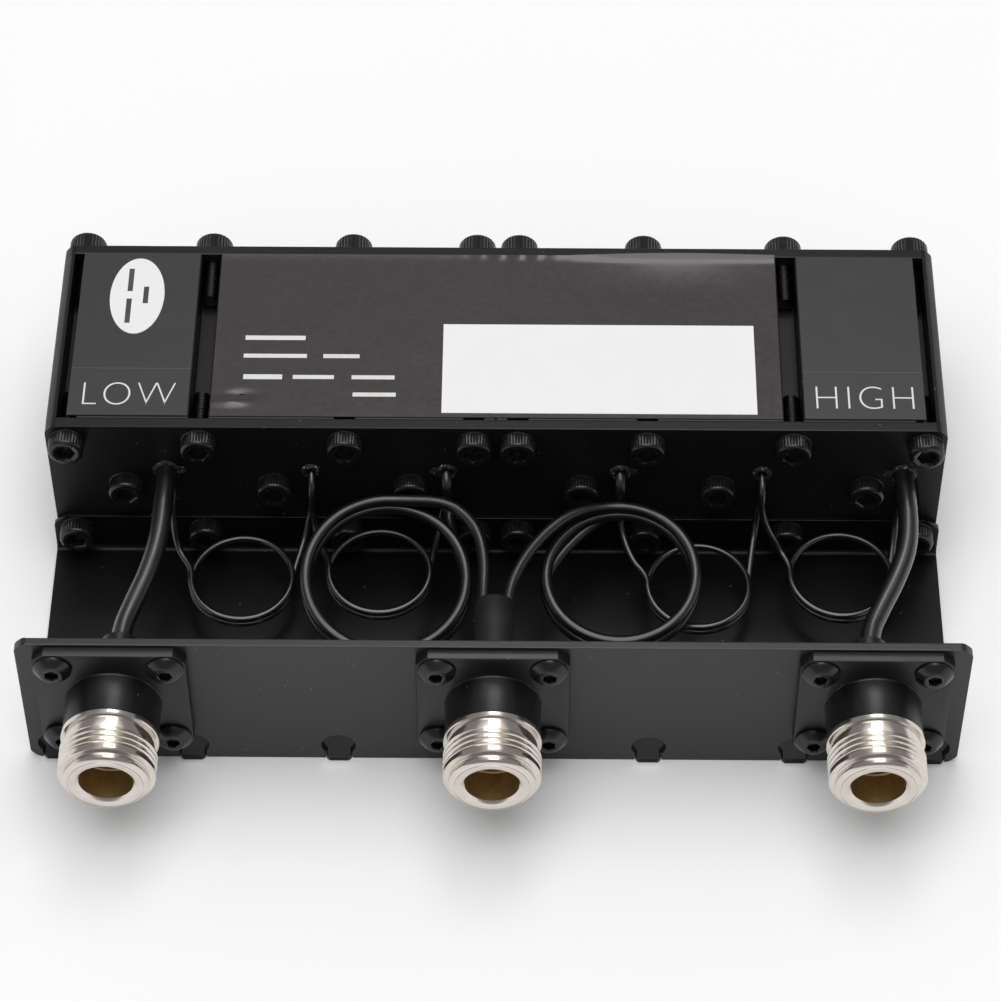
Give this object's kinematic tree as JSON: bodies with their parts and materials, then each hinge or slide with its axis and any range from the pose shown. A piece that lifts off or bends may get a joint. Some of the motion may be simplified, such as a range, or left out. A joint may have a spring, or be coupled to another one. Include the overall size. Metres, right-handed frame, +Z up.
{
  "type": "cavity duplexer",
  "caption": "Compact mobile-radio cavity duplexer: black clamped housings behind an open tray of formed coax cables and a panel with N-type sockets for low, antenna and high.",
  "frame": {"origin": "on the resting plane, under the middle of the overall length and width", "axes": "+X along the panel from the low socket to the high one, +Y from the sockets to the back, +Z up"},
  "size_m": [0.154, 0.1118, 0.0322],
  "materials": {
    "connector_panel": "satin black paint",
    "tray": "satin black paint",
    "front_plate": "satin black paint",
    "back_plate": "satin black paint",
    "housing": "satin black paint on extruded aluminium",
    "socket_body": "nickel plate",
    "insulator": "white fluoropolymer",
    "contact": "gold plate",
    "black_screw": "black oxide steel",
    "resonator": "silver-plated steel",
    "tuner": "bare brass",
    "tuner_nut": "zinc-plated steel",
    "coupling_wire": "tinned copper wire",
    "thick_cable": "black jacket",
    "loop_cable": "black jacket",
    "thin_cable": "dark brown jacket",
    "sleeve": "black shrink sleeve",
    "printed_label": "dark printed label under clear film",
    "writing_field": "pale matt field",
    "face_label": "dark printed label under clear film",
    "word_strip": "dark strip with a pale edge",
    "oval_sticker": "white sticker"
  },
  "bodies": {
    "duplexer": {"connector_panel": "connector_panel", "tray": "tray", "low_housing": "housing", "high_housing": "housing", "front_plate": "front_plate", "back_plate": "back_plate", "low_connector": "socket_body", "low_insulator": "insulator", "low_contact": "contact", "antenna_connector": "socket_body", "antenna_insulator": "insulator", "antenna_contact": "contact", "high_connector": "socket_body", "high_insulator": "insulator", "high_contact": "contact", "tee_sleeve": "sleeve", "front_top_screws": "black_screw", "front_bottom_screws": "black_screw", "back_top_screws": "black_screw", "back_bottom_screws": "black_screw", "resonator_screws": "black_screw", "flange_screws": "black_screw", "resonator_1": "resonator", "resonator_2": "resonator", "resonator_3": "resonator", "resonator_4": "resonator", "resonator_5": "resonator", "resonator_6": "resonator", "tuning_nuts": "tuner_nut", "coupling_loops": "coupling_wire", "low_cable": "thick_cable", "high_cable": "thick_cable", "low_loop_cable": "loop_cable", "high_loop_cable": "loop_cable", "coupling_cable_1": "thin_cable", "coupling_cable_2": "thin_cable", "coupling_cable_3": "thin_cable", "coupling_cable_4": "thin_cable", "main_label": "printed_label", "writing_field": "writing_field", "low_face_label": "face_label", "high_face_label": "face_label", "low_strip": "word_strip", "high_strip": "word_strip", "oval_sticker": "oval_sticker"},
    "tuner_1": {"tuning_screw_1": "tuner"},
    "tuner_2": {"tuning_screw_2": "tuner"},
    "tuner_3": {"tuning_screw_3": "tuner"},
    "tuner_4": {"tuning_screw_4": "tuner"},
    "tuner_5": {"tuning_screw_5": "tuner"},
    "tuner_6": {"tuning_screw_6": "tuner"}
  },
  "joints": [
    {"name": "tuner_1_travel", "type": "slide", "parent": "duplexer", "child": "tuner_1", "axis": [0, 1, 0], "range_m": [-0.003, 0.003]},
    {"name": "tuner_2_travel", "type": "slide", "parent": "duplexer", "child": "tuner_2", "axis": [0, 1, 0], "range_m": [-0.003, 0.003]},
    {"name": "tuner_3_travel", "type": "slide", "parent": "duplexer", "child": "tuner_3", "axis": [0, 1, 0], "range_m": [-0.003, 0.003]},
    {"name": "tuner_4_travel", "type": "slide", "parent": "duplexer", "child": "tuner_4", "axis": [0, 1, 0], "range_m": [-0.003, 0.003]},
    {"name": "tuner_5_travel", "type": "slide", "parent": "duplexer", "child": "tuner_5", "axis": [0, 1, 0], "range_m": [-0.003, 0.003]},
    {"name": "tuner_6_travel", "type": "slide", "parent": "duplexer", "child": "tuner_6", "axis": [0, 1, 0], "range_m": [-0.003, 0.003]}
  ]
}
